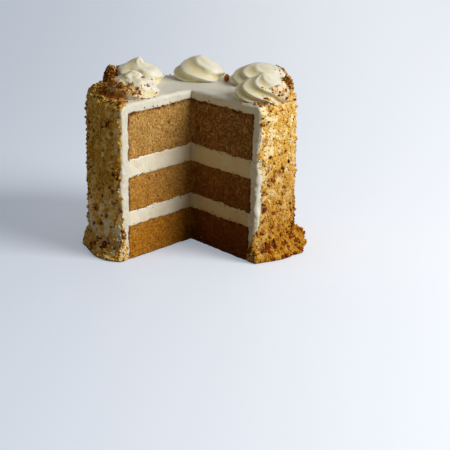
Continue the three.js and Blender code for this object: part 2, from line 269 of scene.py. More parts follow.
def by_axis(tree, place):
    """A place taken apart into its X, Y and Z."""
    node = tree.nodes.new("ShaderNodeSeparateXYZ")
    tree.links.new(place, node.inputs[0])
    return node.outputs


def noise(tree, coordinates, scale, detail=3.0, roughness=0.6):
    """Cloudy noise at so many features to the metre."""
    node = tree.nodes.new("ShaderNodeTexNoise")
    node.inputs["Detail"].default_value = detail
    node.inputs["Roughness"].default_value = roughness
    tree.links.new(coordinates, node.inputs["Vector"])
    if isinstance(scale, bpy.types.NodeSocket):
        tree.links.new(scale, node.inputs["Scale"])
    else:
        node.inputs["Scale"].default_value = scale
    return node.outputs["Fac"]


# Baked grain, used by the sponge and by every crumb: fine mottling between a light and a dark tone.
grain_group = bpy.data.node_groups.new("baked_grain", "ShaderNodeTree")
socket(grain_group, "Vector", "NodeSocketVector", None)
socket(grain_group, "Light", "NodeSocketColor", (0.6, 0.4, 0.15, 1))
socket(grain_group, "Dark", "NodeSocketColor", (0.3, 0.15, 0.04, 1))
socket(grain_group, "Grain", "NodeSocketFloat", 900.0, 1.0, 10000.0)
socket(grain_group, "Color", "NodeSocketColor", None, out=True)
socket(grain_group, "Height", "NodeSocketFloat", None, out=True)
inside = grain_group.nodes.new("NodeGroupInput").outputs
outside = grain_group.nodes.new("NodeGroupOutput").inputs
fine = noise(grain_group, inside["Vector"], inside["Grain"], 4.0, 0.7)
broad = noise(grain_group, inside["Vector"], 160.0, 2.0, 0.5)
mottled = mix(grain_group, ramp(grain_group, fine, 0.36, 0.64), inside["Dark"], inside["Light"])
shaded = mix(grain_group, ramp(grain_group, broad, 0.3, 0.7, 0.0, 0.35), mottled, inside["Dark"])
grain_group.links.new(shaded, outside["Color"])
grain_group.links.new(fine, outside["Height"])


def new_material(name, roughness):
    """A material with its principled shader, node tree and object coordinates."""
    made = bpy.data.materials.new(name)
    made.use_nodes = True
    shader = made.node_tree.nodes["Principled BSDF"]
    shader.inputs["Roughness"].default_value = roughness
    place = made.node_tree.nodes.new("ShaderNodeTexCoord").outputs["Object"]
    return made, made.node_tree, shader, place


def grouped(tree, group, **values):
    """A copy of a node group in a material, with its own values or links."""
    node = tree.nodes.new("ShaderNodeGroup")
    node.node_tree = group
    for label, given in values.items():
        if isinstance(given, bpy.types.NodeSocket):
            tree.links.new(given, node.inputs[label])
        else:
            node.inputs[label].default_value = given
    return node


def bump(tree, shader, height, strength, distance):
    """Fine relief from a height that varies over the surface."""
    node = tree.nodes.new("ShaderNodeBump")
    node.inputs["Strength"].default_value = strength
    node.inputs["Distance"].default_value = distance
    tree.links.new(height, node.inputs["Height"])
    tree.links.new(node.outputs["Normal"], shader.inputs["Normal"])


def point_value(tree, name):
    """A named value that the mesh carries at its points."""
    node = tree.nodes.new("ShaderNodeAttribute")
    node.attribute_name = name
    return node.outputs["Fac"]


sponge_material, tree, shader, place = new_material("carrot_sponge", 0.85)
grain = grouped(tree, grain_group, Vector=place, Light=rgb(220, 181, 106), Dark=rgb(156, 112, 50),
                Grain=620.0)
clumps = tree.nodes.new("ShaderNodeTexVoronoi")
clumps.inputs["Scale"].default_value = 680.0
tree.links.new(place, clumps.inputs["Vector"])
# The rims of the crumb's cells are painted darker as small pores: partly the crumb's own pattern, partly
# painted shade.
pore_shade = ramp(tree, clumps.outputs["Distance"], 0.35, 0.8, 0.0, 0.3)
clumped = mix(tree, pore_shade, grain.outputs["Color"], rgb(138, 88, 36))
# Holes are painted darker towards a dark brown, and so is the whole right-hand cut face: painted shade.
painted_shade_mask = ramp(tree, point_value(tree, "hole_and_shade"), 0.2, 1.8, 0.0, 0.8)
with_holes = mix(tree, painted_shade_mask, clumped, rgb(106, 60, 20))
# Towards the bottom the crumb is painted darker and more orange: painted warm shade.
painted_warm_shade = mix(tree, point_value(tree, "painted_warm_shade"), (1, 1, 1, 1), (0.86, 0.6, 0.09, 1))
warm_shaded = mix(tree, 1.0, with_holes, painted_warm_shade, "MULTIPLY")
with_crust = mix(tree, point_value(tree, "crust"), warm_shaded, rgb(92, 44, 18))
tree.links.new(with_crust, shader.inputs["Base Color"])
bump(tree, shader, grain.outputs["Height"], 0.6, 0.0004)
shader.inputs["Subsurface Weight"].default_value = 0.08
shader.inputs["Subsurface Radius"].default_value = (0.002, 0.001, 0.0005)
shader.inputs["Specular IOR Level"].default_value = 0.25

for name, low, high, crust_top, crust_foot in (
    ("sponge_bottom", 0.0, LOWER_FILLING[0], 0.45, 0.7),
    ("sponge_middle", LOWER_FILLING[1], UPPER_FILLING[0], 0.35, 0.8),
    ("sponge_top", UPPER_FILLING[1], 117.4, 1.0, 0.4),
):
    points, faces, behind = cut_layer(SPONGE_RADIUS + 1.3, low, high, 0.4, level_wave, sponge_crumb)
    distance = np.hypot(points[:, 0], points[:, 1])
    ragged = 0.8 * bumps(points, 3.5, 6) + 0.5 * bumps(points, 1.3, 7)
    line = icing_line(points)
    outer = np.clip((distance - SPONGE_RADIUS - line + 2.2 + 0.5 * ragged) / 1.6, 0, 1)
    edge = SPONGE_TOP + line - 0.4 if high > SPONGE_TOP else high
    top = crust_top * np.clip((points[:, 2] - edge + 2.0 + 0.5 * ragged) / 1.6, 0, 1)
    foot = crust_foot * np.clip((low + 1.6 + ragged - points[:, 2]) / 1.4, 0, 1)
    browned = np.clip(0.65 + 0.8 * bumps(points, 5, 38), 0.15, 1)
    warm = 0.22 * np.clip((distance - SPONGE_RADIUS + 6) / 6, 0, 1) ** 2
    crust = np.maximum(warm, np.maximum(0.95 * outer, np.maximum(top, foot)) * browned)
    crumb_and_shade = behind - 0.55 * knife_cut(points, np.sign(points[:, 0]))
    # The right-hand cut face is turned from the lamp, so its crumb is painted darker, most towards the foot:
    # painted shade.
    shade = 0.42 + 0.75 * np.clip(1 - points[:, 2] / 75, 0, 1)
    crumb_and_shade = np.where(points[:, 0] > 0, shade + 2.2 * crumb_and_shade, 0.9 * crumb_and_shade)
    # Painted warm shade: darker and more orange towards the bottom.
    painted_warm_shade = np.clip(1.15 - points[:, 2] / 85 + 0.12 * bumps(points, 10, 35), 0, 1)
    layer = piece(name + "_crumb", points, faces, sponge_material,
                  masks={"hole_and_shade": crumb_and_shade, "crust": crust, "painted_warm_shade": painted_warm_shade})
    fit(layer, "sponge", name)

# ---- Filling ----
# Two layers of cream cheese filling, spread by hand and pressed out by the sponge on top of them. The
# knife left their cut edges smooth, with a few drag marks and crumbs of sponge in them.

# Spread cream, used by the filling, the icing and the rosettes: an ivory with faint cloudy patches.
cream_group = bpy.data.node_groups.new("spread_cream", "ShaderNodeTree")
socket(cream_group, "Vector", "NodeSocketVector", None)
socket(cream_group, "Light", "NodeSocketColor", (0.8, 0.77, 0.62, 1))
socket(cream_group, "Deep", "NodeSocketColor", (0.7, 0.62, 0.4, 1))
socket(cream_group, "Patch", "NodeSocketFloat", 60.0, 1.0, 10000.0)
socket(cream_group, "Color", "NodeSocketColor", None, out=True)
socket(cream_group, "Height", "NodeSocketFloat", None, out=True)
inside = cream_group.nodes.new("NodeGroupInput").outputs
outside = cream_group.nodes.new("NodeGroupOutput").inputs
cloud = noise(cream_group, inside["Vector"], inside["Patch"], 3.0, 0.55)
smear = noise(cream_group, inside["Vector"], 420.0, 2.0, 0.5)
tinted = mix(cream_group, ramp(cream_group, cloud, 0.3, 0.75, 0.0, 0.6), inside["Light"], inside["Deep"])
cream_group.links.new(tinted, outside["Color"])
cream_group.links.new(smear, outside["Height"])


def cream_material(name, light, painted_shade_mask, patch, relief):
    """Cream cheese icing: dense, satin, and a little translucent."""
    made, tree, shader, place = new_material(name, 0.42)
    cream = grouped(tree, cream_group, Vector=place, Light=light, Deep=painted_shade_mask, Patch=patch)
    tree.links.new(cream.outputs["Color"], shader.inputs["Base Color"])
    bump(tree, shader, cream.outputs["Height"], relief, 0.0006)
    shader.inputs["Subsurface Weight"].default_value = 0.35
    shader.inputs["Subsurface Radius"].default_value = (0.004, 0.0028, 0.0014)
    shader.inputs["Specular IOR Level"].default_value = 0.35
    return made


filling_material = cream_material("filling_cream", rgb(236, 230, 213), rgb(227, 217, 190), 90.0, 0.35)
# To the right of the cake's axis the cream is painted a shade deeper and yellower: painted shade on
# the cut face that is turned from the lamp.
tree = filling_material.node_tree
axes = by_axis(tree, tree.nodes.new("ShaderNodeTexCoord").outputs["Object"])
color_in = tree.nodes["Principled BSDF"].inputs["Base Color"]
painted_right_shade = mix(tree, ramp(tree, axes["X"], -0.006, 0.004), (1, 1, 1, 1), (0.84, 0.78, 0.6, 1))
tree.links.new(mix(tree, 1.0, color_in.links[0].from_socket, painted_right_shade, "MULTIPLY"), color_in)


ICING_INSIDE = SPONGE_RADIUS - 2.0


def cream_cut(points, side):
    """A knife's cut through cream: the broad unevenness, faint drag marks along the stroke, and a torn
    surface on the icing of the side."""
    drag = 0.26 * bumps(points * (1, 1, 0.6), 3.6, 10) + 0.16 * bumps(points, 1.4, 11)
    torn = 0.6 * bumps(points, 2.6, 45) + 0.35 * bumps(points, 1.3, 46)
    torn *= np.clip((np.hypot(points[:, 0], points[:, 1]) - SPONGE_RADIUS) / 2, 0, 1) * (0.8 + 0.2 * side)
    return 0.55 * knife_cut(points, side) + drag - 0.2 + torn


def filling_edge(points, side, low, high):
    """The cut edge stands a hair proud of the sponge, and dips away to a ragged line at both faces
    and behind the icing of the side."""
    ragged = 0.6 * bumps(points, 4.0, 8) + 0.45 * bumps(points, 1.6, 9)
    border = np.minimum(points[:, 2] - low, high - points[:, 2])
    outer = np.clip(np.hypot(points[:, 0], points[:, 1]) - ICING_INSIDE, 0, 3)
    return cream_cut(points, side) + 2.2 * np.clip(1 - (border + ragged) / 1.9, 0, 1) ** 2 + 0.12 * outer


for name, low, high in (("filling_lower", 26.2, 39.7), ("filling_upper", 65.0, 81.2)):
    def edge(points, side, low=low, high=high):
        return filling_edge(points, side, low, high)
    points, faces, behind = cut_layer(SPONGE_RADIUS, low, high, 0.5, level_wave, edge)
    layer = piece(name + "_cream", points, faces, filling_material)
    fit(layer, "cream", name)

# ---- Carrot, nuts and spice in the sponge ----
# Grated carrot and finely chopped nuts were stirred into the batter. The knife cut through some of
# them, so short orange shreds, dark specks and pale nut pieces sit in the two cut faces.


def ball(subdivisions):
    """The points and triangles of a unit ball of 12 or 42 points."""
    made = bmesh.new()
    bmesh.ops.create_icosphere(made, subdivisions=subdivisions, radius=1.0)
    points = np.array([v.co[:] for v in made.verts])
    faces = np.array([[v.index for v in f.verts] for f in made.faces])
    made.free()
    return points, faces


def scraps(name, places, sizes, stretch, material, seed, subdivisions=1, rough=0.25, facing=None):
    """Many small broken bits as one mesh: each a dented ball, stretched, turned and set in its place.
    facing gives a direction that each bit's third side lies along, for bits that lie flat."""
    rng = np.random.default_rng(seed)
    base, triangles = ball(subdivisions)
    count = len(places)
    dents = rng.uniform(1 - rough, 1 + rough, (count, len(base), 1))
    stretches = rng.uniform(stretch[0], stretch[1], (count, 1, 3))
    shaped = base[None] * dents * stretches * (np.asarray(sizes)[:, None, None] / 2)
    q = rng.normal(size=(count, 4))
    if facing is not None:
        normal = facing / np.linalg.norm(facing, axis=1, keepdims=True)
        aside = np.cross(normal, rng.normal(size=(count, 3)))
        aside /= np.linalg.norm(aside, axis=1, keepdims=True)
        turn = np.stack([aside, np.cross(normal, aside), normal], axis=2)
    else:
        w, x, y, z = (q / np.linalg.norm(q, axis=1, keepdims=True)).T
        turn = np.array([
            [1 - 2 * (y * y + z * z), 2 * (x * y - z * w), 2 * (x * z + y * w)],
            [2 * (x * y + z * w), 1 - 2 * (x * x + z * z), 2 * (y * z - x * w)],
            [2 * (x * z - y * w), 2 * (y * z + x * w), 1 - 2 * (x * x + y * y)],
        ]).transpose(2, 0, 1)
    points = np.einsum("nij,nkj->nki", turn, shaped) + np.asarray(places)[:, None, :]
    faces = triangles[None] + (np.arange(count) * len(base))[:, None, None]
    tone = np.repeat(rng.uniform(0, 1, count), len(base))
    return piece(name, points.reshape(-1, 3), faces.reshape(-1, 3), material, masks={"tone": tone})


# Toasting and painted shade, used by the crumbs: they are darker and browner low on the right, and
# painted duller high on the left, where the side is turned from the lamp: painted shade.
toast_and_shade_group = bpy.data.node_groups.new("toasting_and_shade", "ShaderNodeTree")
socket(toast_and_shade_group, "Vector", "NodeSocketVector", None)
socket(toast_and_shade_group, "Color", "NodeSocketColor", (0.6, 0.4, 0.15, 1))
socket(toast_and_shade_group, "Toasted", "NodeSocketColor", None, out=True)
inside = toast_and_shade_group.nodes.new("NodeGroupInput").outputs
outside = toast_and_shade_group.nodes.new("NodeGroupOutput").inputs
axes = by_axis(toast_and_shade_group, inside["Vector"])
low_down = ramp(toast_and_shade_group, axes["Z"], 0.002, 0.11, 1.0, 0.0)
rightward = ramp(toast_and_shade_group, axes["X"], 0.0, 0.06)
low_right = product(toast_and_shade_group, low_down, rightward)
browned = mix(toast_and_shade_group, low_right, (1, 1, 1, 1), (0.64, 0.44, 0.09, 1))
# Painted shade: duller high on the left.
high_up = ramp(toast_and_shade_group, axes["Z"], 0.03, 0.065)
leftward = ramp(toast_and_shade_group, axes["X"], -0.082, -0.03, 1.0, 0.0)
shaded_high_left = product(toast_and_shade_group, high_up, leftward)
painted_left_shade = mix(toast_and_shade_group, shaded_high_left, browned, (0.62, 0.56, 0.36, 1))
toast_and_shade_group.links.new(mix(toast_and_shade_group, 1.0, inside["Color"], painted_left_shade, "MULTIPLY"), outside["Toasted"])


def bit_material(name, light, dark, other, grain_size=1100.0, roughness=0.75):
    """Small bits of one food: mottled, with each bit's own tone between two colours."""
    made, tree, shader, place = new_material(name, roughness)
    grain = grouped(tree, grain_group, Vector=place, Light=light, Dark=dark, Grain=grain_size)
    each = mix(tree, ramp(tree, point_value(tree, "tone"), 0.25, 0.9), grain.outputs["Color"], other)
    # Each bit takes the tint low on the right and the painted shade high on the left.
    toasted_and_shaded = grouped(tree, toast_and_shade_group, Vector=place, Color=each)
    tree.links.new(toasted_and_shaded.outputs["Toasted"], shader.inputs["Base Color"])
    bump(tree, shader, grain.outputs["Height"], 0.4, 0.0003)
    shader.inputs["Specular IOR Level"].default_value = 0.1
    return made


def on_cut_faces(count, seed, depth):
    """Places in the sponge of the two cut faces, with the direction out of each face."""
    rng = np.random.default_rng(seed)
    bands = np.array([[1.5, 26.5], [39.5, 65.5], [81.0, 115.0]])
    band = bands[rng.choice(3, count, p=[0.3, 0.3, 0.4])]
    z = rng.uniform(band[:, 0], band[:, 1])
    side = rng.choice([-1, 1], count)
    inward, angle = into_cake(z, side)
    spot = around(rng.uniform(4, SPONGE_RADIUS - 1.5, count), angle, z)
    back = np.concatenate([sponge_crumb(spot[i:i + 1], side[i]) for i in range(count)])
    return spot + inward * (back + depth)[:, None], -inward


carrot_material = bit_material("grated_carrot", rgb(214, 124, 38), rgb(184, 92, 24), rgb(200, 112, 40))
spots, outward = on_cut_faces(46, 21, 0.15)
shreds = scraps("carrot_shreds", spots, np.random.default_rng(22).uniform(1.4, 3.0, 46),
                ((0.9, 0.2, 0.16), (1.2, 0.4, 0.3)), carrot_material, 23, 2, 0.15, outward)
fit(shreds, "sponge")

spice_material = bit_material("nut_skin_specks", rgb(70, 38, 16), rgb(38, 18, 8), rgb(96, 58, 24))
spots, outward = on_cut_faces(230, 31, 0.05)
specks = scraps("nut_skin_specks", spots, np.random.default_rng(32).uniform(0.5, 1.5, 230),
                ((0.6, 0.5, 0.3), (1.2, 1.0, 0.6)), spice_material, 33)
fit(specks, "sponge")

pale_nut_material = bit_material("nut_meat", rgb(222, 184, 118), rgb(186, 138, 74), rgb(206, 160, 92))
spots, outward = on_cut_faces(240, 41, 0.1)
nuts = scraps("sponge_nut_pieces", spots, np.random.default_rng(42).uniform(0.7, 1.9, 240),
              ((0.6, 0.5, 0.3), (1.2, 1.0, 0.6)), pale_nut_material, 43)
fit(nuts, "sponge")

# ---- Icing ----
# One coat of cream cheese icing over the top and the side, smoothed with a palette knife. It is 7.5 mm
# thick on the top and 8.3 mm on the side, rounded at the rim, and cut through with the slice.

SIDE_ICING = 8.3
ICING_RADIUS = SPONGE_RADIUS + SIDE_ICING
CORNER_RADIUS = 6.0
HEAP_HEIGHT = 11.0
STRAIGHT = CAKE_TOP - CORNER_RADIUS
COAT_RELIEF = 0.8
FLANK_SWELL = 1.1
REAR_SAG = 4.5


def coat_relief(points):
    """How far the side stands out from a plain cylinder: it is plain behind the heap, has low bumps
    above it, and is thicker on the left and right flanks than next to the cuts."""
    above = np.clip((points[:, 2] - HEAP_HEIGHT) / (0.5 * HEAP_HEIGHT), 0, 1)
    above = above * above * (3 - 2 * above)
    thicker = np.clip((np.abs(points[:, 0]) - 60) / 16, 0, 1)
    thicker = FLANK_SWELL * thicker * thicker * (3 - 2 * thicker)
    return above * (thicker + COAT_RELIEF * bumps(points, 6.5))


def outline(along):
    """The icing's outline by the length along it from the foot: distance, height, and the direction
    in which the surface faces."""
    quarter = CORNER_RADIUS * math.pi / 2
    turn = np.clip((along - STRAIGHT) / CORNER_RADIUS, 0, math.pi / 2)
    beyond = np.maximum(0, along - STRAIGHT - quarter)
    distance = ICING_RADIUS - CORNER_RADIUS * (1 - np.cos(turn)) - beyond
    z = np.minimum(along, STRAIGHT) + CORNER_RADIUS * np.sin(turn)
    return distance, z, turn


def cut_distance(points):
    """How far each point lies behind the nearer of the two cuts, which cut that is, and the direction
    from it into the cake."""
    side = np.where(points[:, 0] > 0, 1, -1)
    inward = into_cake(points[:, 2], side)[0]
    return np.einsum("ni,ni->n", points, inward), side, inward


def rear_sag(points):
    """The top falls away a little towards the rear rim, where the knife pressed on the icing."""
    out = np.clip((points[:, 1] - 42) / 38, 0, 1.1) * np.clip((points[:, 2] - 105) / 12, 0, 1)
    return REAR_SAG * out**1.4


def palette_knife(points, behind):
    """The top was smoothed in long strokes, and the knife that took the slice raised a soft lip."""
    flat = np.clip((points[:, 2] - CAKE_TOP + 1) / 1, 0, 1)
    stroke = 0.25 * bumps(points * (1.0, 0.35, 0) + (9, 3, 0), 9, 12)
    stroke += 0.12 * bumps(points * (1, 1, 0), 4.5, 13)
    lip = (0.5 + 0.5 * bumps(points, 12, 19)) * np.exp(-(((behind - 3.5) / 2.0) ** 2))
    return flat * (stroke + lip) - rear_sag(points)


def softness(points):
    """The radius to which the icing's cut edge is rounded: more on the side than on the top."""
    return 1.9 + 0.7 * bumps(points, 7, 18) + 0.8 * np.clip((STRAIGHT - points[:, 2]) / 10, 0, 1)


def edge_round(reach, radius):
    """A rounded corner: how far a point at a distance from the edge is drawn along its own surface,
    away from the edge, and how far it sinks below it."""
    turn = np.clip(1 - reach / radius, 0, 1) * math.pi / 4
    return np.where(turn > 0, radius * (1 - np.sin(turn)) - reach, 0), radius * (1 - np.cos(turn))


def icing_inner(points):
    """How much deeper the cut edge of the icing lies where it meets the sponge, along a ragged line,
    and where it runs into a filling."""
    inner = np.maximum(points[:, 2] - SPONGE_TOP, np.hypot(points[:, 0], points[:, 1]) - SPONGE_RADIUS)
    sponge_here = np.ones(len(points))
    for low, high in (LOWER_FILLING, UPPER_FILLING):
        sponge_here *= np.clip(np.abs(points[:, 2] - (low + high) / 2) - (high - low) / 2 + 0.5, 0, 1)
    feather = 2.6 * np.clip(1 - (inner - icing_line(points)) / 0.9, 0, 1) ** 2
    return sponge_here * feather + (1 - sponge_here) * 0.1 * np.clip(1 - inner, 0, 3)


def edge_margin(z, side):
    """How far from the cut the crumbs begin: above 0 on the outside, and below 0 where they lie over
    the cut edge of the icing, as they do at the foot."""
    place = np.stack([0 * z, 31.0 * side, z], axis=-1)
    wander = bumps(place, 7, 24) + 0.9 * bumps(place, 2.4, 29)
    left = 0.2 - 6.5 * np.clip((48 - z) / 40, 0, 1) ** 1.5
    right = 0.9 + 3.8 * np.clip((84 - z) / 18, 0, 1) - 13.5 * np.clip((34 - z) / 26, 0, 1) ** 1.3
    return np.where(side > 0, right + 0.4 * wander, left) + 1.1 * wander


def bareness(points, reach, side):
    """Where icing shows through the crumbs, above 0: in patches, mostly low down on the left, and
    next to the cuts. reach is how far a point lies behind the cut edge, or below 0, in from it."""
    patches = 0.8 * bumps(points, 9, 20) + 0.7 * bumps(points, 3.0, 21)
    low_left = np.clip(-points[:, 0] / 55, 0, 1) * np.clip((58 - points[:, 2]) / 30, 0, 1)
    at_right = np.clip(points[:, 0] / 40, 0, 1)
    patchy = patches - 0.8 - 0.4 * at_right + 0.95 * low_left
    return np.maximum(patchy, edge_margin(points[:, 2], side) - reach)


def paleness(points):
    """Above 0 where the crumbs are mostly pale, as next to the right cut; below 0, mostly golden."""
    beside = np.clip(1 - cut_distance(points)[0] / 16, 0, 1) * (points[:, 0] > 0)
    return 0.6 * bumps(points, 9, 25) + 0.9 * bumps(points, 3.4, 28) - 0.15 + 0.45 * beside


def brownness(points):
    """Above 0 in clusters of brown crumbs and nuts, more of them towards the foot."""
    low_right = np.clip(points[:, 0] / 60, 0, 1) * np.clip(1.1 - points[:, 2] / 45, 0, 1)
    return (bumps(points, 4.6, 26) + 0.5 * bumps(points, 11, 27) - 0.4 - 0.12 * points[:, 2] / CAKE_TOP
            + 0.34 * low_right)


def icing_shell():
    """The coat as one closed mesh: a finely divided outside and cut faces, and a plain inside that
    the cake hides, two millimetres into the sponge. Its points, faces, and for each point how far it
    lies behind the cut edge, or below 0, in from it."""
    quarter = CORNER_RADIUS * math.pi / 2
    rows = np.concatenate([np.linspace(0, STRAIGHT, 119), STRAIGHT + np.linspace(0, quarter, 9)[1:],
                           STRAIGHT + quarter + np.linspace(0, ICING_RADIUS - CORNER_RADIUS, 66)[1:]])
    out_distance, out_z, turn = outline(rows)
    out_distance[-1] = 0.0
    knots = [0, STRAIGHT, STRAIGHT + quarter / 2, STRAIGHT + quarter, rows[-1]]
    in_distance = np.interp(rows, knots, [ICING_INSIDE, ICING_INSIDE, ICING_INSIDE, 68.0, 0.0])
    in_z = np.interp(rows, knots, [0, 111.0, SPONGE_TOP - 2, SPONGE_TOP - 2, SPONGE_TOP - 2])
    wide, ratio, deep_steps = 240, 10, 14
    columns = np.linspace(0, 1, wide + 1)
    columns -= 0.65 * np.sin(2 * math.pi * columns) / (2 * math.pi)

    def angles(z, shares):
        right = right_cut(z)[None, :]
        return right + (2 * math.pi - LEFT_CUT - right) * shares[:, None]

    outer = around(out_distance[None, :], angles(out_z, columns), out_z[None, :])
    inner = around(in_distance[None, :], angles(in_z, columns[::ratio]), in_z[None, :])
    normal = around(np.cos(turn)[None, :], angles(out_z, columns), np.sin(turn)[None, :])
    flat, facing = outer.reshape(-1, 3), normal.reshape(-1, 3)
    behind, side, inward = cut_distance(flat)
    level = facing * (1, 1, 0)
    flat = flat + level * coat_relief(flat)[:, None] + (0, 0, 1) * palette_knife(flat, behind)[:, None]
    start = flat.reshape(outer.shape).copy()
    near = np.minimum(1, np.hypot(flat[:, 0], flat[:, 1]) / 6)
    along, sink = edge_round(behind, softness(outer.reshape(-1, 3)))
    away = along + cream_cut(flat, side) * np.clip(1 - behind / 8, 0, 1)
    outer = (flat + inward * (away * near)[:, None] - facing * (sink * near)[:, None]).reshape(outer.shape)
    grids, reaches = [outer], [behind.reshape(outer.shape[:2])]
    share = np.linspace(0, 1, deep_steps + 1)[1:, None, None]
    for end in (0, -1):
        thick = inner[end] - start[end]
        length = np.linalg.norm(thick, axis=1)
        base = (start[end][None] + thick[None] * share).reshape(-1, 3)
        depth = (share[..., 0] * length[None]).reshape(-1)
        soft = np.tile(softness(start[end]), deep_steps)
        along, sink = edge_round(depth, soft)
        side = np.full(len(base), 1 if end == 0 else -1)
        inward = into_cake(base[:, 2], side)[0]
        near = np.minimum(1, np.hypot(base[:, 0], base[:, 1]) / 6)
        along_way = np.tile(thick / length[:, None], (deep_steps, 1))
        back = (sink + cream_cut(base, side) + icing_inner(base)) * near
        moved = base + inward * back[:, None] + along_way * (along * near)[:, None]
        grid = np.concatenate([outer[end][None], moved.reshape(deep_steps, -1, 3)])
        inner[end] = grid[-1]
        grids.append(grid)
        reaches.append(np.concatenate([np.zeros((1, len(length))), -depth.reshape(deep_steps, -1)]))
    grids.append(inner)
    reaches.append(np.full(inner.shape[:2], -20.0))
    faces, index, total = [], [], 0
    for grid, flip in zip(grids, (False, False, True, True)):
        a, b = grid.shape[:2]
        number = total + np.arange(a * b).reshape(a, b)
        quads = np.stack([number[:-1, :-1], number[1:, :-1], number[1:, 1:], number[:-1, 1:]], axis=-1)
        faces.extend(quads.reshape(-1, 4)[:, ::-1 if flip else 1].tolist())
        index.append(number)
        total += a * b
    foot_out, foot_in = index[0][:, 0], index[3][:, 0]
    faces.append([*index[1][:, 0], foot_out[1]])
    faces.append([*index[2][:, 0], foot_in[-2], foot_out[-2]])
    faces.extend([foot_out[i], foot_in[i // ratio], foot_out[i + 1]] for i in range(1, wide - 1))
    faces.extend([foot_in[k], foot_in[k + 1], foot_out[(k + 1) * ratio]] for k in range(len(foot_in) - 2))
    points = np.concatenate([grid.reshape(-1, 3) for grid in grids])
    return points, faces, np.concatenate([reach.reshape(-1) for reach in reaches])


icing_material, tree, shader, place = new_material("coat_icing", 0.42)
cream = grouped(tree, cream_group, Vector=place, Light=rgb(226, 225, 216), Deep=rgb(215, 211, 194),
                Patch=45.0)
dust = grouped(tree, grain_group, Vector=place, Light=rgb(234, 197, 104), Dark=rgb(208, 160, 62),
               Grain=800.0)
paler = mix(tree, point_value(tree, "pale"), dust.outputs["Color"], rgb(242, 224, 172))
dust_color = mix(tree, point_value(tree, "brown"), paler, rgb(142, 76, 22))
fine_gaps = ramp(tree, noise(tree, place, 330.0, 3.0, 0.65), 0.26, 0.36)
covered = product(tree, fine_gaps, point_value(tree, "crumbed"))
# The crumb dust and the cream between the crumbs take the same tint and painted shade as the crumbs.
toasted_and_shaded = grouped(tree, toast_and_shade_group, Vector=place, Color=dust_color)
in_gaps = grouped(tree, toast_and_shade_group, Vector=place, Color=cream.outputs["Color"])
bare_color = mix(tree, point_value(tree, "crumbed"), cream.outputs["Color"], in_gaps.outputs["Toasted"])
coat_color = mix(tree, covered, bare_color, toasted_and_shaded.outputs["Toasted"])
tree.links.new(coat_color, shader.inputs["Base Color"])
tree.links.new(ramp(tree, covered, 0.0, 1.0, 0.42, 0.8), shader.inputs["Roughness"])
bump(tree, shader, cream.outputs["Height"], 0.55, 0.0008)
shader.inputs["Subsurface Weight"].default_value = 0.3
shader.inputs["Subsurface Radius"].default_value = (0.004, 0.0028, 0.0014)
shader.inputs["Specular IOR Level"].default_value = 0.35

shell_points, shell_faces, reach = icing_shell()
shell_distance = np.hypot(shell_points[:, 0], shell_points[:, 1])
shell_side = np.where(shell_points[:, 0] > 0, 1, -1)
dusted = np.clip(0.5 - 3 * bareness(shell_points, reach, shell_side), 0, 1)
leftward = np.clip(-shell_points[:, 0] / 60, 0, 1) ** 2
spill = 4 + (9 + 7 * bumps(shell_points, 6, 36)) * leftward + 3 * bumps(shell_points, 4, 37)
dusted *= np.clip(shell_distance - ICING_RADIUS + spill + np.maximum(0, -reach), 0, 1)
coat = piece("icing_coat", shell_points, shell_faces, icing_material, masks={
    "crumbed": dusted,
    "pale": np.clip(0.5 + 2.5 * paleness(shell_points), 0, 1),
    "brown": np.clip(0.25 + 2.5 * brownness(shell_points), 0, 0.7),
})
weld = bmesh.new()
weld.from_mesh(coat.data)
bmesh.ops.remove_doubles(weld, verts=weld.verts, dist=2e-6)
bmesh.ops.dissolve_degenerate(weld, edges=weld.edges, dist=1e-7)
bmesh.ops.recalc_face_normals(weld, faces=weld.faces)
weld.to_mesh(coat.data)
weld.free()
fit(coat, "crumb_coat", "icing")

# ---- Crumbs on the side ----
# Toasted cake crumbs and chopped nuts, pressed into the icing by the handful while it was soft. Most
# are pale or golden, fewer are brown, and the largest are flakes. Icing shows between them in places.


def on_side(count, seed, lowest, highest, wanted, lift, bare=False):
    """Places all over the side between two lengths along the outline, kept where wanted(places) is
    above 0, and where the icing isn't bare, or with bare only where it is."""
    rng = np.random.default_rng(seed)
    distance, z, turn = outline(rng.uniform(lowest, highest, count))
    start = right_cut(z)
    angle = start + (2 * math.pi - LEFT_CUT - start) * rng.uniform(0, 1, count)
    plain = around(distance, angle, z)
    outward = around(np.cos(turn), angle, np.sin(turn))
    behind, side, inward = cut_distance(plain)
    along, sink = edge_round(behind, softness(plain))
    covered = bareness(plain, behind, side) < 0.5 * rng.uniform(-1, 1, count)
    keep = (covered != bare) & (wanted(plain) > 0)
    away = along + cream_cut(plain, side) * np.clip(1 - behind / 8, 0, 1)
    spot = plain + inward * away[:, None] + outward * (coat_relief(plain) + lift - sink)[:, None]
    spot[:, 2] -= rear_sag(plain)
    return spot[keep]


def on_cut_edge(count, seed, wanted, lift):
    """Places on the cut edge of the side's icing, kept where crumbs lie over it."""
    rng = np.random.default_rng(seed)
    z = rng.uniform(0.5, 66, count)
    depth = rng.uniform(0, SIDE_ICING, count)
    side = rng.choice([-1, 1], count)
    inward, angle = into_cake(z, side)
    plain = around(ICING_RADIUS - depth, angle, z)
    along, sink = edge_round(depth, softness(plain))
    keep = (edge_margin(z, side) < -depth + 0.6 * rng.normal(size=count)) & (wanted(plain) > 0)
    outward = around(1.0, angle, 0.0)
    moved = plain + inward * (sink + cream_cut(plain, side) - lift)[:, None] - outward * along[:, None]
    return moved[keep]


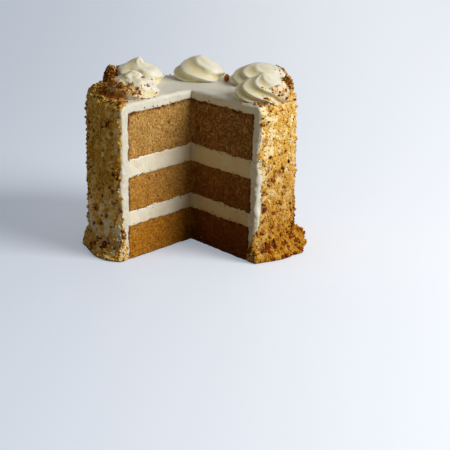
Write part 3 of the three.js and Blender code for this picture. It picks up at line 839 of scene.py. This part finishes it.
pale_material = bit_material("pale_crumbs", rgb(248, 232, 184), rgb(234, 200, 120), rgb(250, 242, 216))
golden_material = bit_material("golden_crumbs", rgb(236, 199, 104), rgb(214, 168, 66), rgb(228, 182, 80))
brown_material = bit_material("brown_crumbs", rgb(158, 88, 26), rgb(112, 54, 13), rgb(178, 108, 36))
nut_material = bit_material("toasted_nuts", rgb(98, 50, 16), rgb(58, 26, 8), rgb(122, 68, 22))

SHARDS = ((0.8, 0.6, 0.5), (1.3, 1.0, 0.8))


def at_left(points):
    """A rule that wants places on the left of the cake."""
    return -points[:, 0] - 15


def mostly(field, share, clear=False):
    """A rule that wants places where a field is above 0, and a share of the others, with clear none
    of those that lie in a brown cluster."""
    def wanted(points):
        other = np.abs(lattice(*np.floor(points * 7).astype(np.int64).T)) < share
        found = np.where(other, 1.0, field(points))
        return np.where(brownness(points) > 0.1, -1.0, found) if clear else found
    return wanted


# Kind, how many places are tried, least and greatest size, material, how finely each is divided, how far
# its middle stands out, and the rule for where it lies.
CRUMB_KINDS = (
    ("pale", 10600, (0.9, 2.3), pale_material, 1, 0.2, mostly(paleness, 0.28, True)),
    ("golden", 8600, (1.0, 2.7), golden_material, 1, 0.2, mostly(lambda p: -paleness(p), 0.4, True)),
    ("brown", 7400, (1.2, 3.4), brown_material, 1, 0.45, mostly(lambda p: brownness(p) - 0.04, 0.02)),
    ("nut", 1300, (1.2, 2.9), nut_material, 2, 0.7, mostly(lambda p: brownness(p) - 0.25, 0.05)),
    ("flake", 560, (1.8, 3.6), golden_material, 2, 0.75, mostly(lambda p: -paleness(p), 0.3)),
)
# A few pale and golden ones stick to the bare icing low on the left too: one for so many of the rest.
STRAY_SHARE = {"pale": 4, "golden": 12}
for number, (kind, count, sizes, material, subdivisions, lift, wanted) in enumerate(CRUMB_KINDS):
    seed = 51 + number
    stray = count // STRAY_SHARE[kind] if kind in STRAY_SHARE else 0
    spots = np.concatenate([
        on_side(count, seed, 3.0, STRAIGHT + 9.0, wanted, lift),
        on_cut_edge(count // 12, seed + 200, wanted, lift),
        on_side(stray, seed + 300, 3.0, 62.0, at_left, 0.1, True),
    ])
    rng = np.random.default_rng(seed + 500)
    span = sizes[0] + (sizes[1] - sizes[0]) * rng.uniform(0, 1, len(spots)) ** 1.6
    made = scraps("side_crumbs_" + kind, spots, span, SHARDS, material, seed + 900, subdivisions, 0.28)
    fit(made, "crumb_coat")

# ---- Heap of crumbs round the foot ----
# What didn't stick to the side fell and lies in a loose heap round the foot, widest on the right. It is
# the same toasted crumb, mostly brown, with a few nuts.

HEAP_REACH, HEAP_CREST = 7.0, 1.8


def heap_edge(angle, z):
    """The heap's distance from the cake's axis at an angle and a height."""
    plain = around(ICING_RADIUS, angle, z)
    sideways = np.arctan2(plain[..., 1], plain[..., 0])
    flat = plain.reshape(-1, 3)
    spread = (1 + 0.45 * np.cos(sideways)) * (1 + 0.35 * bumps(flat * (1, 1, 0), 11).reshape(sideways.shape))
    behind = cut_distance(flat)[0].reshape(sideways.shape)
    longer = np.where(flat[:, 0] > 0, 44, 12).reshape(sideways.shape)
    taper = np.clip((behind + 1.5) / longer, 0.08, 1) ** 0.8
    low = np.clip(1 - z / HEAP_HEIGHT, 0, 1) * taper
    rough = 0.6 * low * bumps(flat, 5).reshape(sideways.shape)
    return ICING_RADIUS + 0.3 + HEAP_CREST * low + HEAP_REACH * low**1.2 * spread + rough


heap_columns = 320
shares = np.linspace(0, 1, heap_columns + 1)[:, None]
heights = np.array([0, 0.01, 1.5, 3, 4.5, 6, 7.5, 9, 10.2, HEAP_HEIGHT])[None, :]
angle = right_cut(heights) + (2 * math.pi - LEFT_CUT - right_cut(heights)) * shares
outer = around(heap_edge(angle, heights), angle, heights)
foot_in = around(ICING_RADIUS - 0.2, angle[:, :1], heights[:, :1])
crest_in = around(ICING_RADIUS - 0.2, angle[:, -1:], heights[:, -1:] + 0.2)
sections = np.concatenate([foot_in, outer[:, 1:], crest_in], axis=1)
ends = sections[[0, -1]].mean(axis=1)
heap_points = np.concatenate([sections.reshape(-1, 3), ends])
heap = piece("crumb_heap_body", heap_points, closed_rings(sections), icing_material, masks={
    "crumbed": np.ones(len(heap_points)),
    "pale": np.clip(0.4 + 2.5 * paleness(heap_points), 0, 1),
    "brown": np.clip(0.5 + 3 * brownness(heap_points), 0, 0.9),
})
fit(heap, "crumbs", "crumb_heap")


def on_heap(count, seed, wanted):
    """Places over the heap's slope, more of them low down, kept where wanted(places) is above 0."""
    rng = np.random.default_rng(seed)
    z = HEAP_HEIGHT * rng.uniform(0.0, 1.05, count) ** 1.25
    start = right_cut(0) + 0.01
    angle = start + (2 * math.pi - LEFT_CUT - 0.01 - start) * rng.uniform(0, 1, count)
    spot = around(heap_edge(angle, np.minimum(z, HEAP_HEIGHT)), angle, z)
    return spot[wanted(spot) > 0]


for number, (kind, count, sizes, material, subdivisions, lift, wanted) in enumerate(CRUMB_KINDS):
    seed = 61 + number
    # For each pale crumb, the heap holds more of the later and browner kinds than the side does.
    spots = on_heap(count * (2 + number) // 13, seed, wanted)
    span = np.random.default_rng(seed + 500).uniform(sizes[0], sizes[1] * 1.15, len(spots))
    spots[:, 2] = np.maximum(spots[:, 2], 0.5 * span)
    made = scraps("heap_crumbs_" + kind, spots, span, SHARDS, material, seed + 900, subdivisions, 0.28)
    fit(made, "crumbs")

# ---- Rosettes ----
# Five rosettes of the same cream cheese icing, each piped in one squeeze from a bag with a star nozzle
# that was turned and pulled up. Its teeth left ridges that run down from the tip and flatten out.

TWIST = math.radians(185)
OUTLINE_UP = np.array([0, 0.08, 0.18, 0.3, 0.4, 0.5, 0.6, 0.7, 0.79, 0.87, 0.94, 1.0])
OUTLINE_OUT = np.array([0.86, 0.97, 1.0, 0.98, 0.93, 0.84, 0.72, 0.57, 0.4, 0.25, 0.12, 0.02])
PEAKED_OUT = np.array([0.86, 0.97, 1.0, 0.98, 0.93, 0.85, 0.72, 0.48, 0.25, 0.15, 0.08, 0.02])
FULL_OUT = np.array([0.88, 1.0, 1.03, 1.03, 1.01, 0.97, 0.91, 0.83, 0.72, 0.57, 0.36, 0.02])
rosette_material, tree, shader, place = new_material("piped_cream", 0.4)
cream = grouped(tree, cream_group, Vector=place, Light=rgb(232, 231, 221), Deep=rgb(226, 221, 201),
                Patch=120.0)
# The right pair's left flanks are painted whiter (painted light), and the hollows between the ridges
# yellower (painted shade).
with_painted_light = mix(tree, point_value(tree, "painted_light_flank"), cream.outputs["Color"], rgb(251, 249, 228))
with_hollow_shade = mix(tree, point_value(tree, "hollow"), with_painted_light, rgb(226, 216, 170))
dusted_cream = mix(tree, point_value(tree, "crumbed"), with_hollow_shade, rgb(212, 164, 88))
tree.links.new(dusted_cream, shader.inputs["Base Color"])
bump(tree, shader, cream.outputs["Height"], 0.12, 0.0006)
shader.inputs["Subsurface Weight"].default_value = 0.95
shader.inputs["Subsurface Radius"].default_value = (0.014, 0.012, 0.0085)
shader.inputs["Specular IOR Level"].default_value = 0.35


def smooth_between(x, knots, values):
    """A smooth curve through the knots (Catmull-Rom)."""
    slope = np.gradient(values, knots)
    k = np.clip(np.searchsorted(knots, x, side="right") - 1, 0, len(knots) - 2)
    span = knots[k + 1] - knots[k]
    t = (x - knots[k]) / span
    return ((2 * t**3 - 3 * t**2 + 1) * values[k] + (t**3 - 2 * t**2 + t) * span * slope[k]
            + (3 * t**2 - 2 * t**3) * values[k + 1] + (t**3 - t**2) * span * slope[k + 1])


def rosette_form(radius, height, ridges, depth, start, lean, rough, peak, full):
    """A closed loft of rings whose ridges turn as they run down: soft crests with broad hollows
    between them. rough is how much the cream sagged and tore, peak how thin its tip was drawn out,
    and full the side on which its flank is fullest, how full there and opposite, and how much wider."""
    side, most, least, wide = full
    rows, columns = 66, 144
    up = np.concatenate([np.linspace(0, 0.9, 54), np.linspace(0.9, 1.0, rows - 53)[1:]])[:, None]
    plain = smooth_between(up, OUTLINE_UP, OUTLINE_OUT * (1 - peak) + PEAKED_OUT * peak)
    filled = smooth_between(up, OUTLINE_UP, FULL_OUT)
    turned = start + TWIST * (1 - up) ** 2 / (1.15 - up)
    turn = 2 * math.pi * np.arange(columns)[None, :] / columns
    towards = (0.5 + 0.5 * np.cos(turn + turned - side)) ** 1.5
    out = (plain + (filled - plain) * (least + (most - least) * towards)) * (1 + wide * towards)
    out = out + min(rough, 1) * np.interp(up, [0, 0.08, 0.18, 0.3], [0.17, 0.07, 0.03, 0.0])
    phase = ridges * turn / 2 + 0.6 * np.sin(turn + start - 1.52)
    hollow = (np.sqrt(np.sin(phase) ** 2 + 0.03) - 0.173) / 0.842
    own = 1 + 0.3 * np.sin(turn + start * 5)
    faced = (turn + turned + math.pi) % (2 * math.pi) - math.pi
    stroked = np.clip((faced - 0.1) / 0.6, 0, 1) * np.clip((2.9 - faced) / 0.6, 0, 1)
    soft = np.clip((1 - up) / 0.14, 0.25, 1) * (1 - 0.85 * stroked * np.clip((up - 0.15) / 0.25, 0, 1))
    uneven = 1 + 0.03 * np.sin(2 * (turn + turned) + start)
    reach = radius * out * uneven * (1 - depth * own * hollow * soft)
    rings = around(reach, turn + turned, up * height)
    rings = rings + np.array([lean, 0, 0]) * up[..., None] ** 3
    flat = rings.reshape(-1, 3)
    away = flat - np.array([0, 0, 0.4 * height])
    away /= np.linalg.norm(away, axis=1, keepdims=True)
    seed = 30 + int(start * 10)
    ripple = rough * (bumps(flat, 5.5, seed) + 0.5 * bumps(flat, 2.6, seed + 1))
    ripple += 0.05 * bumps(flat, 1.6, 31)
    flat = flat + away * (ripple * np.minimum(1, up * 6 + 0 * turn).reshape(-1))[:, None]
    flat[:, 2] = np.maximum(flat[:, 2], 0.0)
    # How strongly each point is painted yellower in the hollows: painted shade.
    painted_shade_mask = np.append((hollow * soft).reshape(-1), [0, 0])
    return np.concatenate([flat, [[0, 0, 0], [lean, 0, height]]]), closed_rings(rings), painted_shade_mask


# Name, place, radius, height, number of ridges, their depth and start, lean of the tip, roughness, thin
# tip, and fullness; then the way crumbs lie on its flank, how far they spread, and how many there are.
ROSETTES = (
    ("left_front", -46.0, -15.0, 20.3, 18.0, 5, 0.06, 0.4, 1.0, 1.5, 0.5, (-1.3, 0.4, 0.1, 0.05),
     -0.9, 0.7, 520),
    ("left_rear", -43.5, 34.0, 21.3, 20.0, 5, 0.14, 0.5, 1.0, 0.8, 1.0, (-1.7, 0.3, 0.0, 0.03),
     -1.7, 0.3, 50),
    ("back", 6.8, 47.0, 21.3, 19.0, 5, 0.16, 0.54, 0.0, 0.25, 0.0, (-1.7, 0.5, 0.25, 0.02),
     3.1, 0.3, 0),
    ("right_rear", 54.0, 27.0, 22.5, 17.0, 6, 0.11, 0.5, 1.0, 0.3, 0.0, (1.3, 0.85, 0.45, 0.12),
     1.9, 0.4, 110),
    ("right_front", 54.0, -30.0, 21.5, 20.5, 7, 0.115, 0.65, 2.0, 0.25, 0.4, (2.0, 0.6, 0.1, 0.06),
     0.85, 0.5, 190),
)
domes = []
for name, x, y, radius, height, *form, toward, spread, _ in ROSETTES:
    points, faces, painted_shade_mask = rosette_form(radius, height, *form)
    flank = (points[:, 0] * math.sin(toward) - points[:, 1] * math.cos(toward)) / radius
    flank = flank + 0.3 * bumps(points, 4, 39) + 0.25 * spread - 0.35 * points[:, 2] / height
    # Fine crumb hides the cream of the left pair and only dulls the right pair. The right pair's left
    # flanks, turned from the lamp, are painted whiter: painted light.
    dusty = np.clip(4 * (flank - 0.75), 0, 0.9 if x < 0 else 0.35)
    painted_light_flank = np.clip(0.7 - points[:, 0] / radius, 0, 1) * (x > 20)
    placed = points + (x, y, CAKE_TOP - 0.1)
    low = 1 - np.clip(points[:, 2] / height, 0, 1)
    beyond = np.clip(np.hypot(placed[:, 0], placed[:, 1]) - ICING_RADIUS + CORNER_RADIUS, 0, CORNER_RADIUS)
    fall = CORNER_RADIUS - np.sqrt(CORNER_RADIUS**2 - beyond**2)
    placed[:, 2] -= low * (0.6 * fall + rear_sag(placed * (1, 1, 0) + (0, 0, CAKE_TOP)))
    made = piece(f"rosette_{name}_piped", placed, faces, rosette_material,
                 masks={"hollow": painted_shade_mask, "crumbed": dusty, "painted_light_flank": painted_light_flank})
    domes.append(BVHTree.FromPolygons(placed.tolist(), faces))
    fit(made, "cream", f"rosette_{name}")

# ---- Crumbs on the top ----
# Crumbs spilled over the rim as the side was coated. They lie in a band inside the rim, against the
# outer flanks of the rosettes, thickest at the left, and a few loose bits lie further in.


def settle(x, y):
    """The height of the top at each place: a rosette or a pile where one stands, or else the icing."""
    beyond = np.clip(np.hypot(x, y) - ICING_RADIUS + CORNER_RADIUS, 0, CORNER_RADIUS)
    height = STRAIGHT + np.sqrt(CORNER_RADIUS**2 - beyond**2)
    height -= rear_sag(np.stack([x, y, height], axis=-1))
    for i, place in enumerate(zip(x, y)):
        for dome in domes:
            hit = dome.ray_cast(Vector((*place, 200.0)), Vector((0, 0, -1)))[0]
            if hit:
                height[i] = max(height[i], hit.z)
    return height


def on_rim(count, seed, lift):
    """Places on the top inside the rim, thinning out inwards; the band is wide at the left."""
    rng = np.random.default_rng(seed)
    angle = RIGHT_CUT + 0.03 + (2 * math.pi - LEFT_CUT - RIGHT_CUT - 0.06) * rng.uniform(0, 1, count)
    leftward = np.clip(-np.sin(angle), 0, 1)
    rearward = np.clip(-np.cos(angle) - 0.7, 0, 1) / 0.3
    inside_rim = (4 + 15 * leftward**2 + 5 * np.clip(np.sin(angle), 0, 1)) * rng.uniform(0, 1, count) ** 1.5
    spot = around(ICING_RADIUS - 3 - inside_rim, angle, 0.0)
    thick = bumps(spot, 7, 34) + 0.6 + 0.5 * leftward - 3.0 * rearward
    spot = spot[thick > inside_rim / 16]
    spot[:, 2] = settle(spot[:, 0], spot[:, 1]) + lift
    return spot[spot[:, 2] < CAKE_TOP + np.where(spot[:, 0] > 0, 5, 8)]


def on_flank(count, seed, x, y, radius, toward, spread, lift):
    """Places on the flank of a rosette, on the side that faces towards an angle."""
    rng = np.random.default_rng(seed)
    angle = toward + spread * rng.normal(size=count)
    spot = around(radius * (1.15 - 0.4 * rng.uniform(0, 1, count) ** 2), angle, 0.0) + (x, y, 0)
    spot[:, 2] = settle(spot[:, 0], spot[:, 1]) + lift
    held = (np.hypot(spot[:, 0], spot[:, 1]) < ICING_RADIUS - 1) | (spot[:, 2] > STRAIGHT + 1)
    return spot[held & (bumps(spot, 5, 41) > 0.25 * rng.normal(size=count) - 0.05)]


caramel_material = bit_material("caramel_nuts", rgb(196, 126, 44), rgb(150, 86, 24), rgb(178, 106, 32))
for kind, share, sizes, material, subdivisions, lift in (
    ("pale", 0.8, (0.9, 2.2), pale_material, 1, 0.1),
    ("golden", 1.2, (1.0, 2.5), golden_material, 1, 0.15),
    ("brown", 0.9, (1.1, 2.6), brown_material, 1, 0.2),
    ("caramel", 0.16, (1.8, 3.8), caramel_material, 2, 0.5),
    ("nut", 0.1, (1.4, 2.8), nut_material, 2, 0.4),
):
    seed = 700 + int(share * 100)
    dark = kind in ("brown", "caramel", "nut")
    groups = [on_rim(int(980 * share), seed, lift)]
    for number, (name, x, y, radius, *_, toward, spread, crumbs) in enumerate(ROSETTES):
        fewer = (name == "right_front" and dark) or (name == "left_front" and kind == "nut")
        held = crumbs * share * (0.35 if fewer else 1)
        groups.append(on_flank(int(held), seed + 1 + number, x, y, radius, toward, spread, lift))
    spots = np.concatenate(groups)
    rng = np.random.default_rng(seed + 9)
    span = sizes[0] + (sizes[1] - sizes[0]) * rng.uniform(0, 1, len(spots)) ** 1.5
    made = scraps("top_crumbs_" + kind, spots, span, SHARDS, material, seed + 10, subdivisions, 0.28)
    fit(made, "crumbs")

# Two small piles of crumbs that the hand left on the rim: one against the left rear rosette, and a lower
# one between the two rosettes on the right. Name, place, reach along X and along Y, and height.
PILES = (
    ("left", -65.2, 31.0, 5.8, 8.8, 13.8),
    ("right", 77.0, 7.0, 3.7, 9.0, 10.8),
)
for pile_name, x, y, across, along, height in PILES:
    size = np.array([across, along, height])
    foot = np.array([x, y, CAKE_TOP - 1.0])
    rows = np.linspace(0, 1, 15)[:, None]
    turn = 2 * math.pi * np.arange(40)[None, :] / 40
    rings = around(np.sqrt(1 - 0.97 * rows**2) + 0 * turn, turn, rows) * size + foot
    flat = rings.reshape(-1, 3)
    flat[:, :2] += (0.9 * bumps(flat, 3.0, 43) + 0.5 * bumps(flat, 1.5, 44))[:, None] * (1, 0.4)
    if pile_name == "right":
        flat[:, 2] -= 4.0 * np.clip((flat[:, 0] - x) / 4, 0, 1) * (flat[:, 2] < CAKE_TOP)
    pile_points = np.concatenate([flat, [foot, foot + (0, 0, height - 0.4)]])
    pile = piece(f"crumb_pile_{pile_name}", pile_points, closed_rings(rings), brown_material,
                 masks={"tone": 0.5 + 0.5 * bumps(pile_points, 2.5, 22)})
    domes.append(BVHTree.FromPolygons(pile_points.tolist(), closed_rings(rings)))
    fit(pile, "crumbs")
    for kind, count, sizes, material, subdivisions in (
        ("golden", 210, (1.0, 2.4), golden_material, 1),
        ("brown", 240, (1.1, 2.8), brown_material, 1),
        ("nut", 75, (1.4, 3.4), nut_material, 2),
        ("pale", 70, (0.9, 2.0), pale_material, 1),
    ):
        rng = np.random.default_rng(840 + count)
        level = rng.uniform(0, 1, count) ** 0.9
        angle = rng.uniform(0, 2 * math.pi, count)
        spots = around(np.sqrt(1 - 0.97 * level**2), angle, level) * (size + (0.2, 0.2, 0)) + foot
        made = scraps(f"{pile_name}_pile_{kind}", spots, rng.uniform(*sizes, count), SHARDS, material,
                      850 + count, subdivisions, 0.28)
        fit(made, "crumbs")

loose = np.array([[-31.0, -14.0, 0], [-33.0, -3.0, 0], [-37.5, -19.0, 0], [70.5, -46.0, 0]])
loose_span = np.array([1.8, 2.2, 2.4, 2.0])
loose[:, 2] = settle(loose[:, 0], loose[:, 1]) + 0.3 * loose_span
made = scraps("loose_bits", loose, loose_span, SHARDS, caramel_material, 77, 2, 0.2)
fit(made, "crumbs")
chunk = np.array([[28.7, 34.7, CAKE_TOP + 2.8]])
made = scraps("loose_nut", chunk, [6.4], ((0.66, 0.66, 1.0), (0.7, 0.7, 1.05)), caramel_material, 78, 3, 0.1,
              np.array([[0.1, -0.2, 1.0]]))
fit(made, "crumbs")

# Crumbs of sponge that the knife dragged over the edges of the cream, on both cut faces.
rng = np.random.default_rng(81)
edges = np.array([*LOWER_FILLING, *UPPER_FILLING, SPONGE_TOP, SPONGE_TOP])
count = 150
side = rng.choice([-1, 1, 1], count)
z = edges[rng.integers(0, len(edges), count)] + 1.1 * rng.normal(size=count)
inward, angle = into_cake(z, side)
spots = around(rng.uniform(5, SPONGE_RADIUS, count), angle, z)
spots += inward * (cream_cut(spots, side) - 0.1)[:, None]
smeared_material = bit_material("smeared_sponge", rgb(176, 122, 58), rgb(112, 68, 26), rgb(132, 84, 36))
made = scraps("smeared_crumbs", spots, rng.uniform(0.6, 1.5, count), ((0.7, 0.7, 0.4), (1.2, 1.1, 0.6)),
              smeared_material, 82, 1, 0.25, -inward)
fit(made, "sponge")

# ---- Table, light and camera ----
# A pale table, one large soft lamp to the right and a little in front, and dim light from above.

floor_mesh = bpy.data.meshes.new("table_top")
corners = [(x, y, -0.0003) for x, y in ((-6, -6), (6, -6), (6, 6), (-6, 6))]
floor_mesh.from_pydata(corners, [], [(0, 1, 2, 3)])
table = bpy.data.objects.new("table_top", floor_mesh)
bpy.context.scene.collection.objects.link(table)
table_material, tree, shader, place = new_material("pale_table", 0.6)
seen = tree.nodes.new("ShaderNodeLightPath").outputs["Is Camera Ray"]
reach = tree.nodes.new("ShaderNodeVectorMath")
reach.operation = "LENGTH"
tree.links.new(place, reach.inputs[0])
under = ramp(tree, reach.outputs["Value"], 0.1, 0.14)
axes = by_axis(tree, place)
shaded_side = ramp(tree, axes["X"], -0.17, -0.08, 1.0, 0.0)
beyond = mix(tree, shaded_side, (0.34, 0.28, 0.16, 1), (0.86, 0.78, 0.55, 1))
bounce = mix(tree, under, (0.12, 0.055, 0.009, 1), beyond)
# As the camera sees it, the table is painted lighter towards the right and further off, and glows there
# though it is no lamp: painted light.
rightward = ramp(tree, axes["X"], -0.35, 0.35)
painted_light_table = mix(tree, rightward, rgb(198, 206, 217), rgb(226, 230, 236))
tree.links.new(mix(tree, seen, bounce, painted_light_table), shader.inputs["Base Color"])
far_off = ramp(tree, axes["Y"], 0.2, 1.8)
glow_left = mix(tree, far_off, (0.146, 0.178, 0.24, 1), (0.23, 0.272, 0.345, 1))
glow_right = mix(tree, far_off, (0.35, 0.385, 0.44, 1), (0.42, 0.46, 0.515, 1))
glow = mix(tree, rightward, glow_left, glow_right)
tree.links.new(mix(tree, seen, (0, 0, 0, 1), glow), shader.inputs["Emission Color"])
shader.inputs["Emission Strength"].default_value = 1.0
floor_mesh.materials.append(table_material)


def lamp(name, place, aim, size, power, color):
    """A round soft lamp at a place, turned towards its aim."""
    made = bpy.data.lights.new(name, "AREA")
    made.shape = "DISK"
    made.size = size
    made.energy = power
    made.color = color
    holder = bpy.data.objects.new(name, made)
    holder.location = place
    holder.rotation_euler = (Vector(aim) - Vector(place)).to_track_quat("-Z", "Y").to_euler()
    bpy.context.scene.collection.objects.link(holder)


lamp("soft_key", (2.25, -1.26, 1.5), (0, 0, 0.06), 1.9, 94.0, (1.0, 0.978, 0.94))

world = bpy.data.worlds.new("pale_room")
bpy.context.scene.world = world
world.use_nodes = True
tree = world.node_tree
toward = tree.nodes.new("ShaderNodeVectorMath")
toward.operation = "DOT_PRODUCT"
tree.links.new(tree.nodes.new("ShaderNodeTexCoord").outputs["Generated"], toward.inputs[0])
toward.inputs[1].default_value = (0.1, 0.5, 0.86)
sky = ramp(tree, toward.outputs["Value"], -0.1, 1.0)
tree.links.new(mix(tree, sky, (0.05, 0.038, 0.022, 1), (0.545, 0.51, 0.455, 1)),
               tree.nodes["Background"].inputs["Color"])
tree.nodes["Background"].inputs["Strength"].default_value = 0.66

ELEVATION, DISTANCE = math.radians(17.37), 1.328
PITCH, YAW, ROLL = ELEVATION - math.radians(0.483), math.radians(1.252), math.radians(0.546)
ahead = Vector((math.sin(YAW) * math.cos(PITCH), math.cos(YAW) * math.cos(PITCH), -math.sin(PITCH)))
level = ahead.cross(Vector((0, 0, 1))).normalized()
upright = level.cross(ahead)
sideways = level * math.cos(ROLL) + upright * math.sin(ROLL)
top = upright * math.cos(ROLL) - level * math.sin(ROLL)
cake_foot = Vector((AXIS_X * 0.001, AXIS_Y * 0.001, 0))
eye = cake_foot + DISTANCE * Vector((0, -math.cos(ELEVATION), math.sin(ELEVATION)))
PICTURE_SIDE, FOCAL_PIXELS, SENSOR_WIDTH = 450.0, 1623.8, 36.0
camera_data = bpy.data.cameras.new("camera")
camera_data.sensor_width = SENSOR_WIDTH
camera_data.lens = FOCAL_PIXELS * SENSOR_WIDTH / PICTURE_SIDE
camera = bpy.data.objects.new("camera", camera_data)
camera.matrix_world = Matrix.Translation(eye) @ Matrix((sideways, top, -ahead)).transposed().to_4x4()
bpy.context.scene.collection.objects.link(camera)
bpy.context.scene.camera = camera
bpy.context.scene.view_settings.view_transform = "Standard"
